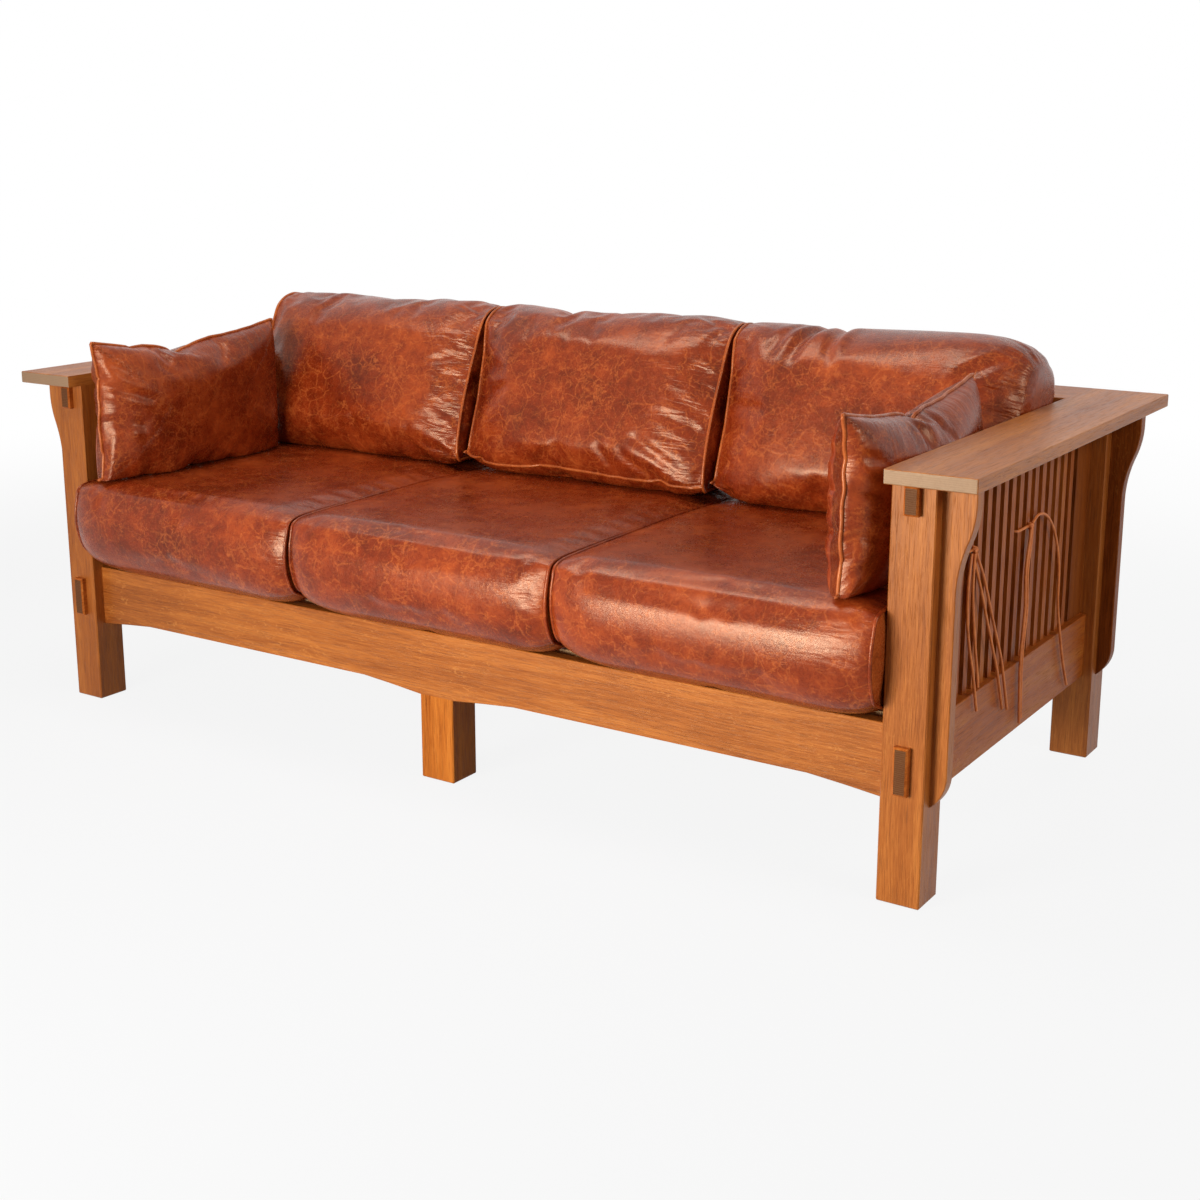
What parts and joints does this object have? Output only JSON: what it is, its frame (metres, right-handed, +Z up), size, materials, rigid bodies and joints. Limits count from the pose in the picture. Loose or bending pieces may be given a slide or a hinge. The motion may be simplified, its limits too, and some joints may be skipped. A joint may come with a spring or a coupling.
{
  "type": "settle",
  "caption": "Wide slatted wooden settle with flat arms, long corbels, arched apron, leather seat and back cushions and laced arm pillows.",
  "frame": {"origin": "on the floor, under the middle of the settle's footprint, without the hanging laces", "axes": "+X runs along the seat to the side with the laces, +Y runs from front to back, +Z is up"},
  "size_m": [2.185, 1.0276, 0.8635],
  "materials": {
    "oak": "stained red-brown oak with a satin lacquer",
    "deck_wood": "plain planed hardwood",
    "peg_wood": "plain hardwood pegs",
    "leather": "glossy waxed chestnut leather with lighter veins",
    "lace_leather": "orange-brown leather lace",
    "screw_steel": "plain steel wood screws",
    "glide_plastic": "dark plastic glides"
  },
  "bodies": {
    "frame": {"front_post_right": "oak", "front_post_left": "oak", "rear_post_right": "oak", "rear_post_left": "oak", "front_corbel_right": "oak", "front_corbel_left": "oak", "rear_corbel_right": "oak", "rear_corbel_left": "oak", "front_middle_leg": "oak", "rear_middle_leg": "oak", "front_apron": "oak", "rear_apron": "oak", "back_top_rail": "oak", "side_rail_right": "oak", "side_rail_left": "oak", "arm_rail_right": "oak", "arm_rail_left": "oak", "side_spindles_right": "oak", "side_spindles_left": "oak", "rear_stile_right": "oak", "rear_stile_left": "oak", "back_spindles": "oak", "back_middle_stile": "oak", "arm_right": "oak", "arm_left": "oak", "back_shelf": "oak", "seat_cross_rail": "deck_wood", "seat_cleat_right": "deck_wood", "seat_cleat_left": "deck_wood", "seat_slats_right": "deck_wood", "seat_slats_left": "deck_wood", "arm_dowels": "peg_wood", "shelf_dowels": "peg_wood", "cleat_screws": "screw_steel", "foot_glides": "glide_plastic", "arm_pillow_right": "leather", "front_lace_loop": "lace_leather", "front_lace_knot": "lace_leather", "rear_lace_loop": "lace_leather", "rear_lace_knot": "lace_leather", "front_lace_inner": "lace_leather", "front_lace_outer": "lace_leather", "front_lace_long": "lace_leather", "front_lace_short": "lace_leather", "rear_lace_straight": "lace_leather", "rear_lace_crossed": "lace_leather", "rear_lace_arched": "lace_leather"},
    "seat_cushion_left_body": {"seat_cushion_left": "leather"},
    "seat_cushion_middle_body": {"seat_cushion_middle": "leather"},
    "seat_cushion_right_body": {"seat_cushion_right": "leather"},
    "back_cushion_left_body": {"back_cushion_left": "leather"},
    "back_cushion_middle_body": {"back_cushion_middle": "leather"},
    "back_cushion_right_body": {"back_cushion_right": "leather"},
    "arm_pillow_left_body": {"arm_pillow_left": "leather"}
  },
  "joints": [
    {"name": "seat_cushion_left_pull", "type": "slide", "parent": "frame", "child": "seat_cushion_left_body", "axis": [0, -1, 0], "range_m": [0, 0.9]},
    {"name": "seat_cushion_middle_pull", "type": "slide", "parent": "frame", "child": "seat_cushion_middle_body", "axis": [0, -1, 0], "range_m": [0, 0.9]},
    {"name": "seat_cushion_right_pull", "type": "slide", "parent": "frame", "child": "seat_cushion_right_body", "axis": [0, -1, 0], "range_m": [0, 0.9]},
    {"name": "back_cushion_left_lift", "type": "slide", "parent": "frame", "child": "back_cushion_left_body", "axis": [0, 0, 1], "range_m": [0, 0.4]},
    {"name": "back_cushion_middle_lift", "type": "slide", "parent": "frame", "child": "back_cushion_middle_body", "axis": [0, 0, 1], "range_m": [0, 0.4]},
    {"name": "back_cushion_right_lift", "type": "slide", "parent": "frame", "child": "back_cushion_right_body", "axis": [0, 0, 1], "range_m": [0, 0.4]},
    {"name": "arm_pillow_left_lift", "type": "slide", "parent": "frame", "child": "arm_pillow_left_body", "axis": [0, 0, 1], "range_m": [0, 0.4]}
  ]
}
